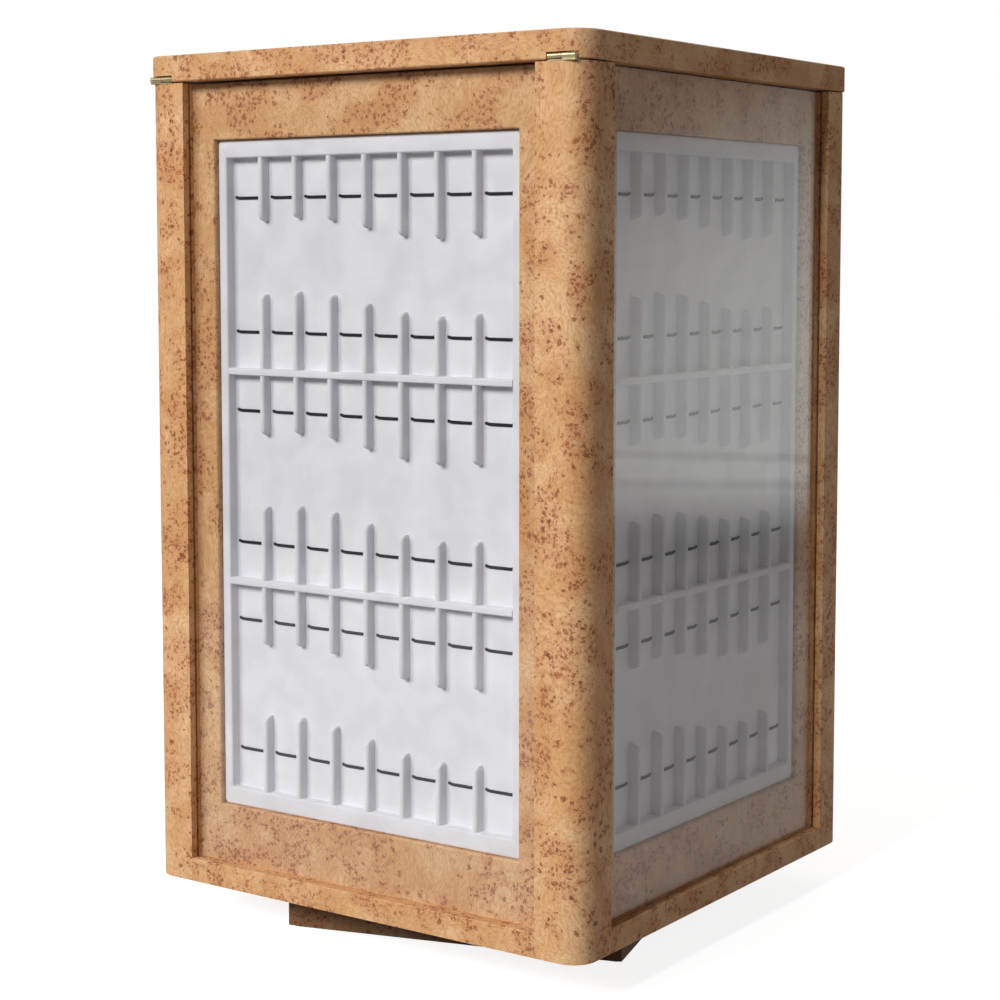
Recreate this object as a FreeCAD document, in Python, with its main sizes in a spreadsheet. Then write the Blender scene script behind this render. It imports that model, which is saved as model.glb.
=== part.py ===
import FreeCAD, Part
import math
import os

import Sketcher
from FreeCAD import Placement, Rotation, Vector

# A square column display case that turns on a low plinth. Each of its four glazed faces
# shows a suede-lined tray with three bands of upright slots and pairs of elastic straps,
# and a hinged lid closes the top.
#
# Millimetres, +Z up. The origin is on the floor below the middle of the plinth. The front
# face, which carries the lid's hinges, looks along -Y.

SIZES = {
    # Column: outside width, rounding of its upright corners, wall depth, height of the posts
    "body_width": "380",
    "corner_radius": "17.5",
    "shell_depth": "12",
    "post_width": "37",
    "body_height": "586",
    "bottom_rail_height": "17",
    "board_thickness": "16",
    "edge_chamfer": "0.8",
    # Lid
    "lid_gap": "1",
    "lid_thickness": "19",
    "lid_overhang": "1.3",
    "lid_edge_chamfer": "0.8",
    # Glass panes and the grooves that they slide down
    "glass_thickness": "3",
    "glass_setback": "6",
    "glass_clearance": "0.3",
    "post_groove_depth": "6",
    "rail_groove_depth": "4",
    "glass_top_gap": "1",
    # Inner frames, set behind the glass, and the window in each
    "frame_depth": "12",
    "frame_stile": "45",
    "frame_head": "41",
    "frame_sill": "43",
    "frame_top_gap": "1",
    "top_board_thickness": "12",
    "top_board_drop": "3",
    # Trays
    "tray_setback": "4",
    "tray_depth": "8",
    "tray_floor": "3",
    "tray_flange": "8",
    "tray_clearance": "0.3",
    "rim_side": "8",
    "rim_end": "13",
    "rim_chamfer": "1",
    # Bars and fins that divide a tray
    "column_count": "8",
    "bar_height": "5",
    "fin_thickness": "4",
    "fin_reach": "51",
    "fin_wave": "7.7",
    "fin_nose": "5",
    # Elastic straps
    "strap_height": "2.2",
    "strap_thickness": "1.2",
    "strap_offset": "28.5",
    "strap_clearance": "0.2",
    # Plinth, and how far it stands turned from the column
    "plinth_width": "255",
    "plinth_height": "21",
    "plinth_turn": "16",
    "felt_thickness": "1.5",
    "felt_inset": "3",
    # Turntable: two plates that turn on a pivot, with a glide ring between them
    "bearing_height": "9",
    "plate_width": "150",
    "plate_thickness": "1.6",
    "plate_screw_inset": "15",
    "glide_diameter": "110",
    "glide_width": "8",
    "glide_clearance": "0.1",
    "pivot_diameter": "10",
    "pivot_head_diameter": "16",
    "pivot_head_height": "1.5",
    "pivot_fit": "0.05",
    "pivot_play": "0.3",
    "head_room": "1",
    # Wood screws of the turntable
    "screw_diameter": "3.5",
    "screw_length": "12",
    "screw_head_diameter": "7",
    "screw_head_height": "1.6",
    "pilot_clearance": "0.05",
    "plate_hole_clearance": "0.4",
    # Lid hinges
    "hinge_length": "21",
    "hinge_inset": "6.2",
    "hinge_diameter": "4",
    "hinge_rise": "2.1",
    "hinge_setback": "0.8",
    "hinge_neck": "2.4",
    "hinge_pin_diameter": "2",
    "hinge_pin_fit": "0.04",
    "knuckle_gap": "0.3",
    "leaf_depth": "10.7",
    "leaf_thickness": "0.7",
    "leaf_clearance": "0.1",
    "notch_clearance": "0.5",
    # Pads between the back posts and the lid
    "pad_width": "8",
    "pad_inset": "6",
    "pad_along": "19",
    "pad_clearance": "0.3",
}

# Places that several pieces share, worked out from the sizes
PLACES = {
    "half_width": "sizes.body_width / 2",
    "core_half": "half_width - sizes.shell_depth",
    "opening_half": "half_width - sizes.post_width",
    "plinth_top": "sizes.felt_thickness + sizes.plinth_height",
    "body_floor": "plinth_top + sizes.bearing_height",
    "board_top": "body_floor + sizes.board_thickness",
    "post_top": "body_floor + sizes.body_height",
    "lid_floor": "post_top + sizes.lid_gap",
    "lid_half": "half_width + sizes.lid_overhang",
    "groove_floor": "body_floor + sizes.bottom_rail_height - sizes.rail_groove_depth",
    "groove_width": "sizes.glass_thickness + 2 * sizes.glass_clearance",
    "glass_middle": "half_width - sizes.glass_setback - sizes.glass_thickness / 2",
    "window_half": "core_half - sizes.frame_stile",
    "frame_top": "post_top - sizes.frame_top_gap",
    "window_floor": "board_top + sizes.frame_sill",
    "window_top": "post_top - sizes.frame_head",
    "window_middle": "(window_floor + window_top) / 2",
    "window_height": "window_top - window_floor",
    "frame_back": "core_half - sizes.frame_depth",
    "tray_face": "core_half - sizes.tray_setback",
    "tray_bed": "tray_face - sizes.tray_depth",
    "pocket_half": "window_half - sizes.rim_side",
    "pocket_height": "window_height - 2 * sizes.rim_end",
    "pocket_floor": "window_floor + sizes.rim_end",
    "pocket_top": "window_top - sizes.rim_end",
    "column_pitch": "2 * pocket_half / sizes.column_count",
    "lower_bar": "pocket_floor + pocket_height / 3",
    "upper_bar": "pocket_floor + pocket_height * 2 / 3",
    "plate_screw": "sizes.plate_width / 2 - sizes.plate_screw_inset",
    "hinge_middle": "half_width - sizes.hinge_inset - sizes.hinge_length / 2",
    "hinge_axis_y": "half_width - sizes.hinge_setback",
    "hinge_axis_z": "lid_floor + sizes.hinge_rise",
    "notch_reach": "sizes.hinge_diameter / 2 + sizes.notch_clearance",
    "leaf_back_y": "hinge_axis_y - sizes.leaf_depth",
}

# Turns about the upright axis, in degrees, and the two sides of the front face
FACES = {"front": 0, "right": 90, "back": 180, "left": 270}
CORNERS = {"front_right": 0, "back_right": 90, "back_left": 180, "front_left": 270}
SIDES = {"left": -1, "right": 1}

# Each turntable plate has a screw at each of its corners
PLATE_SCREWS = 4

# Two places this close, in millimetres, count as one
TOLERANCE = 0.001

doc = FreeCAD.newDocument("display_stand")
sizes = doc.addObject("Spreadsheet::Sheet", "sizes")
for row, (alias, number) in enumerate(SIZES.items(), start=1):
    sizes.set(f"A{row}", alias)
    sizes.set(f"B{row}", number)
    sizes.setAlias(f"B{row}", alias)
doc.recompute()

places = doc.addObject("App::VarSet", "places")
for name, formula in PLACES.items():
    places.addProperty("App::PropertyFloat", name, "Places")
    places.setExpression(name, formula)
doc.recompute()

parts = []


# Shared building steps

def bind(item, formulas):
    """Tie properties of an object to formulas of the sizes."""
    for path, formula in formulas.items():
        item.setExpression(path, formula)


def turned(degrees):
    """Placement turned about the column's upright axis."""
    return Placement(Vector(), Rotation(Vector(0, 0, 1), degrees))


def new_body(label, turn=0):
    """An empty body, kept as one of the parts."""
    body = doc.addObject("PartDesign::Body", label)
    body.Label = label
    body.Placement = turned(turn)
    parts.append(body)
    return body


def origin_item(body, role):
    """One of a body's own planes or axes."""
    return next(item for item in body.Origin.OriginFeatures if item.Role == role)


def new_sketch(body, plane, x, y, lift):
    """A sketch on one of the body's planes, its origin moved to (x, y) and lifted."""
    sketch = body.newObject("Sketcher::SketchObject", "sketch")
    sketch.AttachmentSupport = [(origin_item(body, plane), "")]
    sketch.MapMode = "FlatFace"
    bind(sketch, {
        "AttachmentOffset.Base.x": x,
        "AttachmentOffset.Base.y": y,
        "AttachmentOffset.Base.z": lift,
    })
    return sketch


def rectangle(body, plane, width, height, x="0", y="0", lift="0"):
    """Sketch of a rectangle about its own origin."""
    sketch = new_sketch(body, plane, x, y, lift)
    corners = [Vector(-1, -1, 0), Vector(1, -1, 0), Vector(1, 1, 0), Vector(-1, 1, 0)]
    for start, end in zip(corners, corners[1:] + corners[:1]):
        sketch.addGeometry(Part.LineSegment(start, end))
    for side in range(4):
        sketch.addConstraint(Sketcher.Constraint("Coincident", side, 2, (side + 1) % 4, 1))
        direction = "Vertical" if side % 2 else "Horizontal"
        sketch.addConstraint(Sketcher.Constraint(direction, side))
    sketch.addConstraint(Sketcher.Constraint("Symmetric", 0, 1, 1, 2, -1, 1))
    across = sketch.addConstraint(Sketcher.Constraint("DistanceX", 0, 1, 0, 2, 2.0))
    sketch.renameConstraint(across, "width")
    upward = sketch.addConstraint(Sketcher.Constraint("DistanceY", 1, 1, 1, 2, 2.0))
    sketch.renameConstraint(upward, "height")
    bind(sketch, {"Constraints.width": width, "Constraints.height": height})
    return sketch


def circles(body, plane, diameters, x="0", y="0", lift="0"):
    """Sketch of one circle, or of a ring between two, about its own origin."""
    sketch = new_sketch(body, plane, x, y, lift)
    for index, diameter in enumerate(diameters):
        sketch.addGeometry(Part.Circle(Vector(), Vector(0, 0, 1), 1.0 + index))
        sketch.addConstraint(Sketcher.Constraint("Coincident", index, 3, -1, 1))
        across = sketch.addConstraint(Sketcher.Constraint("Diameter", index, 2.0 + 2 * index))
        sketch.renameConstraint(across, f"diameter_{index}")
        bind(sketch, {f"Constraints.diameter_{index}": diameter})
    return sketch


def pad(body, sketch, length, reverse=False):
    """Add material along the sketch's normal, or against it."""
    feature = body.newObject("PartDesign::Pad", "pad")
    feature.Profile = sketch
    feature.Reversed = reverse
    bind(feature, {"Length": length})
    doc.recompute()
    return feature


def pocket(body, sketch, length, reverse=False):
    """Cut against the sketch's normal, or along it, and make sure that something went."""
    before = body.Shape.Volume
    feature = body.newObject("PartDesign::Pocket", "pocket")
    feature.Profile = sketch
    feature.Reversed = reverse
    bind(feature, {"Length": length})
    doc.recompute()
    if not feature.Shape.Volume < before:
        raise ValueError(f"{body.Label}: a pocket cuts nothing")
    return feature


def pattern_round(body, originals, count):
    """Repeat features evenly about the upright axis."""
    feature = body.newObject("PartDesign::PolarPattern", "pattern")
    feature.Originals = originals
    feature.Axis = (origin_item(body, "Z_Axis"), [""])
    feature.Angle = 360
    feature.Occurrences = count
    body.Tip = feature
    doc.recompute()
    return feature


def mirror_across(body, originals):
    """Repeat features on the other side of the column's middle plane."""
    feature = body.newObject("PartDesign::Mirrored", "mirrored")
    feature.Originals = originals
    feature.MirrorPlane = (origin_item(body, "YZ_Plane"), [""])
    body.Tip = feature
    doc.recompute()
    return feature


def edge_names(feature, wanted):
    """Names of a feature's edges whose boxes pass a test."""
    return [f"Edge{index}" for index, edge in enumerate(feature.Shape.Edges, start=1)
            if wanted(edge.BoundBox)]


def fillet(body, radius, wanted):
    """Round the edges whose boxes pass a test."""
    base = body.Tip
    feature = body.newObject("PartDesign::Fillet", "fillet")
    feature.Base = (base, edge_names(base, wanted))
    bind(feature, {"Radius": radius})
    doc.recompute()


def chamfer(body, size, wanted):
    """Bevel the edges whose boxes pass a test."""
    base = body.Tip
    feature = body.newObject("PartDesign::Chamfer", "chamfer")
    feature.Base = (base, edge_names(base, wanted))
    bind(feature, {"Size": size})
    doc.recompute()


def near(a, b):
    """Whether two places count as one."""
    return abs(a - b) < TOLERANCE


def is_upright(box):
    """Whether an edge's box is a plain upright line."""
    return near(box.XLength, 0) and near(box.YLength, 0)


def new_group(label, solids, turn=0):
    """A set of like solids, kept as one part."""
    group = doc.addObject("Part::Feature", label)
    group.Label = label
    group.Shape = Part.makeCompound(solids)
    group.Placement = turned(turn)
    parts.append(group)
    return group


def box_between(low, high):
    """Block between two opposite corners."""
    return Part.makeBox(high.x - low.x, high.y - low.y, high.z - low.z, low)


# Plinth

def make_plinth():
    """Square burl block, turned away from the column, drilled for the turntable's screws."""
    body = new_body("base_plinth", sizes.plinth_turn)
    block = rectangle(body, "XY_Plane", "sizes.plinth_width", "sizes.plinth_width",
                      lift="sizes.felt_thickness")
    pad(body, block, "sizes.plinth_height")
    pilot_holes(body, "places.plinth_top", False)
    top = places.plinth_top
    corner = sizes.plinth_width / 2
    chamfer(body, "sizes.edge_chamfer", lambda box: (
        is_upright(box) and near(abs(box.XMax), corner)
        or near(box.ZMin, top) and max(box.XLength, box.YLength) > corner))


def pilot_holes(body, level, upward):
    """Four holes for the turntable's screws, from a face at the given level."""
    hole = circles(body, "XY_Plane", ["sizes.screw_diameter + 2 * sizes.pilot_clearance"],
                   "places.plate_screw", "places.plate_screw", level)
    drilled = pocket(body, hole, "sizes.screw_length", upward)
    pattern_round(body, [drilled], PLATE_SCREWS)


def make_felt():
    """Felt sheet that the plinth stands on."""
    body = new_body("base_felt", sizes.plinth_turn)
    side = "sizes.plinth_width - 2 * sizes.felt_inset"
    pad(body, rectangle(body, "XY_Plane", side, side), "sizes.felt_thickness")


# Turntable

def make_swivel_plate(label, turn, outer_face, facing_up, centre_hole):
    """Square steel plate with a hole for the pivot and one for a screw near each corner."""
    body = new_body(label, turn)
    plate = rectangle(body, "XY_Plane", "sizes.plate_width", "sizes.plate_width", lift=outer_face)
    pad(body, plate, "sizes.plate_thickness", not facing_up)
    pocket(body, circles(body, "XY_Plane", [centre_hole], lift=outer_face),
           "sizes.plate_thickness", facing_up)
    hole = circles(body, "XY_Plane", ["sizes.screw_diameter + 2 * sizes.plate_hole_clearance"],
                   "places.plate_screw", "places.plate_screw", outer_face)
    drilled = pocket(body, hole, "sizes.plate_thickness", facing_up)
    pattern_round(body, [drilled], PLATE_SCREWS)


def make_glide_ring():
    """Nylon ring on the lower plate that the upper plate slides round on."""
    body = new_body("turntable_glide_ring", sizes.plinth_turn)
    ring = circles(body, "XY_Plane", ["sizes.glide_diameter - 2 * sizes.glide_width",
                                      "sizes.glide_diameter"],
                   lift="places.plinth_top + sizes.plate_thickness")
    pad(body, ring, "sizes.bearing_height - 2 * sizes.plate_thickness - sizes.glide_clearance")


def make_pivot():
    """Headed pin, pressed into the lower plate, that keeps the upper plate on it."""
    shank = doc.addObject("Part::Cylinder", "pivot_shank")
    bind(shank, {
        "Radius": "sizes.pivot_diameter / 2",
        "Height": "sizes.bearing_height + sizes.pivot_play",
        "Placement.Base.z": "places.plinth_top",
    })
    head = doc.addObject("Part::Cylinder", "pivot_head")
    bind(head, {
        "Radius": "sizes.pivot_head_diameter / 2",
        "Height": "sizes.pivot_head_height",
        "Placement.Base.z": "places.body_floor + sizes.pivot_play",
    })
    pin = doc.addObject("Part::Fuse", "turntable_pivot")
    pin.Label = "turntable_pivot"
    pin.Base = shank
    pin.Tool = head
    pin.Refine = True
    parts.append(pin)


def make_plate_screws(label, turn, plate_face, upward):
    """Four hexagon-head wood screws through a plate of the turntable."""
    aim = Vector(0, 0, 1 if upward else -1)
    hexagon = Part.makePolygon([
        Vector(math.cos(math.tau * corner / 6), math.sin(math.tau * corner / 6), 0)
        * (sizes.screw_head_diameter / 2) for corner in range(7)])
    corner_place = Vector(places.plate_screw, places.plate_screw, plate_face)
    screws = []
    for index in range(PLATE_SCREWS):
        place = turned(360 * index / PLATE_SCREWS).multVec(corner_place)
        head = Part.Face(hexagon).extrude(-aim * sizes.screw_head_height)
        head.translate(place)
        shank = Part.makeCylinder(sizes.screw_diameter / 2, sizes.screw_length, place, aim)
        screws.append(head.fuse(shank).removeSplitter())
    new_group(label, screws, turn)


def make_turntable():
    """Both plates, the ring and the pivot between them, and their screws."""
    pressed_hole = "sizes.pivot_diameter + sizes.pivot_fit"
    running_hole = "sizes.pivot_diameter + 2 * sizes.pivot_fit"
    make_swivel_plate("turntable_lower_plate", sizes.plinth_turn, "places.plinth_top", True,
                      pressed_hole)
    make_swivel_plate("turntable_upper_plate", 0, "places.body_floor", False, running_hole)
    make_glide_ring()
    make_pivot()
    make_plate_screws("plinth_screws", sizes.plinth_turn,
                      places.plinth_top + sizes.plate_thickness, False)
    make_plate_screws("deck_screws", 0, places.body_floor - sizes.plate_thickness, True)


# Column

def make_bottom_board():
    """Board between the rails, recessed for the pivot's head."""
    body = new_body("bottom_board")
    side = "2 * places.core_half"
    pad(body, rectangle(body, "XY_Plane", side, side, lift="places.body_floor"),
        "sizes.board_thickness")
    recess = circles(body, "XY_Plane", ["sizes.pivot_head_diameter + 2 * sizes.head_room"],
                     lift="places.body_floor")
    pocket(body, recess, "sizes.pivot_play + sizes.pivot_head_height + sizes.head_room", True)
    pilot_holes(body, "places.body_floor", True)


def make_post(name, turn):
    """Corner post of angle section, rounded outside, with a glass groove in each leg."""
    body = new_body(f"corner_post_{name}", turn)
    middle = "places.half_width - sizes.post_width / 2"
    post = rectangle(body, "XY_Plane", "sizes.post_width", "sizes.post_width",
                     middle, f"-({middle})", "places.body_floor")
    pad(body, post, "sizes.body_height")
    hollow_side = "sizes.post_width - sizes.shell_depth"
    hollow_middle = f"places.core_half - ({hollow_side}) / 2"
    hollow = rectangle(body, "XY_Plane", hollow_side, hollow_side,
                       hollow_middle, f"-({hollow_middle})", "places.post_top")
    pocket(body, hollow, "sizes.body_height")
    half = places.half_width
    fillet(body, "sizes.corner_radius", lambda box: (
        is_upright(box) and near(box.XMax, half) and near(box.YMin, -half)))
    depth = "places.post_top - places.groove_floor"
    along = "places.opening_half + sizes.post_groove_depth / 2"
    front_groove = rectangle(body, "XY_Plane", "sizes.post_groove_depth", "places.groove_width",
                             along, "-places.glass_middle", "places.post_top")
    pocket(body, front_groove, depth)
    side_groove = rectangle(body, "XY_Plane", "places.groove_width", "sizes.post_groove_depth",
                            "places.glass_middle", f"-({along})", "places.post_top")
    pocket(body, side_groove, depth)


def make_bottom_rail(face, turn):
    """Rail across the foot of a face, grooved along its top for the glass."""
    body = new_body(f"bottom_rail_{face}", turn)
    length = "2 * places.opening_half"
    rail = rectangle(body, "XY_Plane", length, "sizes.shell_depth",
                     y="-(places.half_width - sizes.shell_depth / 2)", lift="places.body_floor")
    pad(body, rail, "sizes.bottom_rail_height")
    groove = rectangle(body, "XY_Plane", length, "places.groove_width", y="-places.glass_middle",
                       lift="places.groove_floor + sizes.rail_groove_depth")
    pocket(body, groove, "sizes.rail_groove_depth")
    half = places.half_width
    top = places.groove_floor + sizes.rail_groove_depth
    chamfer(body, "sizes.edge_chamfer", lambda box: (
        near(box.ZMin, top) and near(box.YMin, -half) and near(box.YMax, -half)))


def make_glass(face, turn):
    """Pane that slides down the posts' grooves into the rail."""
    body = new_body(f"glass_pane_{face}", turn)
    width = "2 * (places.opening_half + sizes.post_groove_depth - sizes.glass_clearance)"
    pane = rectangle(body, "XY_Plane", width, "sizes.glass_thickness", y="-places.glass_middle",
                     lift="places.groove_floor")
    pad(body, pane, "places.post_top - sizes.glass_top_gap - places.groove_floor")


def make_inner_frame(face, turn):
    """Board with a window. The four meet pinwheel fashion, each end against the next one's back."""
    body = new_body(f"inner_frame_{face}", turn)
    panel = rectangle(body, "XZ_Plane", "2 * places.core_half - sizes.frame_depth",
                      "places.frame_top - places.board_top", "-sizes.frame_depth / 2",
                      "(places.frame_top + places.board_top) / 2", "places.frame_back")
    pad(body, panel, "sizes.frame_depth")
    window = rectangle(body, "XZ_Plane", "2 * places.window_half", "places.window_height",
                       y="places.window_middle", lift="places.core_half")
    pocket(body, window, "sizes.frame_depth")
    front = -places.core_half
    reach = places.window_half + TOLERANCE
    top = places.window_top + TOLERANCE
    chamfer(body, "sizes.edge_chamfer", lambda box: (
        near(box.YMin, front) and near(box.YMax, front)
        and box.XMin > -reach and box.XMax < reach and box.ZMax < top))


def make_top_board():
    """Board that closes the core below the lid."""
    body = new_body("core_top_board")
    side = "2 * places.frame_back"
    board = rectangle(body, "XY_Plane", side, side, lift="places.post_top - sizes.top_board_drop")
    pad(body, board, "sizes.top_board_thickness", True)


# Trays

def make_tray(face, turn):
    """Flanged tray seated on the back of a frame, its rim standing in the window."""
    body = new_body(f"tray_{face}", turn)
    centre = "places.window_middle"
    flange = rectangle(body, "XZ_Plane", "2 * (places.window_half + sizes.tray_flange)",
                       "places.window_height + 2 * sizes.tray_flange", y=centre,
                       lift="places.tray_bed - sizes.tray_floor")
    pad(body, flange, "places.frame_back - places.tray_bed + sizes.tray_floor")
    block = rectangle(body, "XZ_Plane", "2 * (places.window_half - sizes.tray_clearance)",
                      "places.window_height - 2 * sizes.tray_clearance", y=centre,
                      lift="places.tray_bed - sizes.tray_floor")
    pad(body, block, "sizes.tray_depth + sizes.tray_floor")
    recess = rectangle(body, "XZ_Plane", "2 * places.pocket_half", "places.pocket_height",
                       y=centre, lift="places.tray_face")
    pocket(body, recess, "sizes.tray_depth")
    front = -places.tray_face
    chamfer(body, "sizes.rim_chamfer", lambda box: near(box.YMin, front) and near(box.YMax, front))


def make_bar(label, turn, level):
    """Bar across a tray, between two bands of slots."""
    body = new_body(label, turn)
    bar = rectangle(body, "XZ_Plane", "2 * places.pocket_half", "sizes.bar_height", y=level,
                    lift="places.tray_bed")
    pad(body, bar, "sizes.tray_depth")


def fin_blade(middle, root, tip):
    """Upright fin on a tray's bed, from the edge that it stands against to its bevelled free end."""
    x = middle - sizes.fin_thickness / 2
    front = -places.tray_face
    back = -places.tray_bed
    shoulder = tip - math.copysign(sizes.fin_nose, tip - root)
    outline = Part.makePolygon([
        Vector(x, back, root),
        Vector(x, front, root),
        Vector(x, front, shoulder),
        Vector(x, front + sizes.fin_nose, tip),
        Vector(x, back, tip),
        Vector(x, back, root),
    ])
    return Part.Face(outline).extrude(Vector(sizes.fin_thickness, 0, 0))


def make_fins(face, turn):
    """Fins between the slots of a tray. Their free ends follow one wave across the face."""
    columns = int(sizes.column_count)
    half_bar = sizes.bar_height / 2
    fins = []
    for column in range(1, columns):
        middle = column * places.column_pitch - places.pocket_half
        rise = sizes.fin_wave * math.sin(math.tau * column / columns)
        above = rise + sizes.fin_reach
        below = rise - sizes.fin_reach
        fins.append(fin_blade(middle, places.pocket_floor, places.pocket_floor + above))
        for level in (places.lower_bar, places.upper_bar):
            fins.append(fin_blade(middle, level - half_bar, level + below))
            fins.append(fin_blade(middle, level + half_bar, level + above))
        fins.append(fin_blade(middle, places.pocket_top, places.pocket_top + below))
    new_group(f"tray_fins_{face}", fins, turn)


def make_straps(face, turn):
    """Elastic straps across the slots, two in each band, flat on the tray's bed."""
    columns = int(sizes.column_count)
    levels = []
    for low, high in ((places.pocket_floor, places.lower_bar),
                      (places.lower_bar, places.upper_bar),
                      (places.upper_bar, places.pocket_top)):
        levels += [low + sizes.strap_offset, high - sizes.strap_offset]
    back = -places.tray_bed
    straps = []
    for column in range(columns):
        left_gap = sizes.strap_clearance + (sizes.fin_thickness / 2 if column else 0)
        last = column == columns - 1
        right_gap = sizes.strap_clearance + (0 if last else sizes.fin_thickness / 2)
        left = column * places.column_pitch - places.pocket_half + left_gap
        right = (column + 1) * places.column_pitch - places.pocket_half - right_gap
        for level in levels:
            low = Vector(left, back - sizes.strap_thickness, level - sizes.strap_height / 2)
            high = Vector(right, back, level + sizes.strap_height / 2)
            straps.append(box_between(low, high))
    new_group(f"elastic_straps_{face}", straps, turn)


# Lid and hinges

def make_lid():
    """Lid board with rounded corners, notched along its front edge for the hinges."""
    body = new_body("lid_board")
    side = "2 * places.lid_half"
    pad(body, rectangle(body, "XY_Plane", side, side, lift="places.lid_floor"), "sizes.lid_thickness")
    fillet(body, "sizes.corner_radius + sizes.lid_overhang", is_upright)
    top = places.lid_floor + sizes.lid_thickness
    chamfer(body, "sizes.lid_edge_chamfer", lambda box: (
        near(box.ZMin, top) or near(box.ZMax, places.lid_floor)))
    notch_back = "places.hinge_axis_y - places.notch_reach"
    notch_depth = f"(places.lid_half - ({notch_back}))"
    notch = rectangle(body, "XY_Plane", "sizes.hinge_length + 2 * sizes.notch_clearance", notch_depth,
                      "places.hinge_middle", f"-({notch_back} + {notch_depth} / 2)", "places.lid_floor")
    barrel_room = pocket(body, notch, "sizes.hinge_rise + places.notch_reach", True)
    seat_depth = f"({notch_back} - places.leaf_back_y + sizes.leaf_clearance)"
    seat = rectangle(body, "XY_Plane", "sizes.hinge_length + 2 * sizes.leaf_clearance", seat_depth,
                     "places.hinge_middle", f"-({notch_back} - {seat_depth} / 2)", "places.lid_floor")
    leaf_room = pocket(body, seat, "sizes.leaf_thickness", True)
    mirror_across(body, [barrel_room, leaf_room])


def make_hinge_leaf(label, side, lower):
    """Brass leaf with the one knuckle that it carries."""
    middle = side * places.hinge_middle
    radius = sizes.hinge_diameter / 2
    axis_y = -places.hinge_axis_y
    axis_z = places.hinge_axis_z
    knuckle_length = (sizes.hinge_length - sizes.knuckle_gap) / 2
    towards_corner = side if lower else -side
    outer = middle + towards_corner * sizes.hinge_length / 2
    inner = outer - towards_corner * knuckle_length
    left = min(outer, inner)
    knuckle = Part.makeCylinder(radius, knuckle_length, Vector(left, axis_y, axis_z), Vector(1, 0, 0))
    plate_face = places.post_top if lower else places.lid_floor
    plate_top = plate_face + sizes.leaf_thickness
    half_neck = sizes.hinge_neck / 2
    plate_front = axis_y - half_neck if lower else axis_y + places.notch_reach
    plate = box_between(Vector(middle - sizes.hinge_length / 2, plate_front, plate_face),
                        Vector(middle + sizes.hinge_length / 2, -places.leaf_back_y, plate_top))
    if lower:
        neck = box_between(Vector(left, axis_y - half_neck, plate_face),
                           Vector(left + knuckle_length, axis_y + half_neck, axis_z))
    else:
        neck = box_between(Vector(left, axis_y, plate_face),
                           Vector(left + knuckle_length, axis_y + places.notch_reach, plate_top))
    leaf = knuckle.multiFuse([plate, neck])
    fit = sizes.hinge_pin_fit / 2 if lower else sizes.hinge_pin_fit
    bore = Part.makeCylinder(sizes.hinge_pin_diameter / 2 + fit, sizes.hinge_length,
                             Vector(middle - sizes.hinge_length / 2, axis_y, axis_z), Vector(1, 0, 0))
    new_group(label, leaf.cut(bore).removeSplitter().Solids)


def make_hinges():
    """Two-knuckle butt hinges on the front corner posts, each with its pin."""
    for name, side in SIDES.items():
        make_hinge_leaf(f"hinge_lower_leaf_{name}", side, True)
        make_hinge_leaf(f"hinge_upper_leaf_{name}", side, False)
        pin = doc.addObject("Part::Cylinder", f"hinge_pin_{name}")
        pin.Label = f"hinge_pin_{name}"
        pin.Placement = Placement(Vector(), Rotation(Vector(0, 1, 0), 90))
        bind(pin, {
            "Radius": "sizes.hinge_pin_diameter / 2",
            "Height": "sizes.hinge_length",
            "Placement.Base.x": f"{side} * places.hinge_middle - sizes.hinge_length / 2",
            "Placement.Base.y": "-places.hinge_axis_y",
            "Placement.Base.z": "places.hinge_axis_z",
        })
        parts.append(pin)


def make_lid_pads():
    """Thin felt squares on the back posts that the lid closes on."""
    along = places.half_width - sizes.pad_along
    across = places.half_width - sizes.pad_inset
    spread = Vector(sizes.pad_width / 2, sizes.pad_width / 2, 0)
    rise = Vector(0, 0, sizes.lid_gap - sizes.pad_clearance)
    pads = []
    for side in SIDES.values():
        place = Vector(side * along, across, places.post_top)
        pads.append(box_between(place - spread, place + spread + rise))
    new_group("lid_pads", pads)


# Assembly

make_plinth()
make_felt()
make_turntable()
make_bottom_board()
for corner_name, corner_turn in CORNERS.items():
    make_post(corner_name, corner_turn)
for face_name, face_turn in FACES.items():
    make_bottom_rail(face_name, face_turn)
    make_glass(face_name, face_turn)
    make_inner_frame(face_name, face_turn)
    make_tray(face_name, face_turn)
    make_bar(f"tray_bar_lower_{face_name}", face_turn, "places.lower_bar")
    make_bar(f"tray_bar_upper_{face_name}", face_turn, "places.upper_bar")
    make_fins(face_name, face_turn)
    make_straps(face_name, face_turn)
make_top_board()
make_lid()
make_hinges()
make_lid_pads()
doc.recompute()

for item in doc.Objects:
    if "Invalid" in item.State or "Error" in item.State:
        raise ValueError(f"{item.Label} did not build: {item.State}")
for part in parts:
    if part.Shape.isNull() or not part.Shape.isValid():
        raise ValueError(f"{part.Label} has no valid shape")

os.makedirs("parts", exist_ok=True)
for part in parts:
    part.Shape.exportStep(f"parts/{part.Label}.step")
print(f"{len(parts)} parts written")
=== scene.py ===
import math

import bmesh
import bpy
from mathutils import Euler, Matrix, Vector


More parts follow.
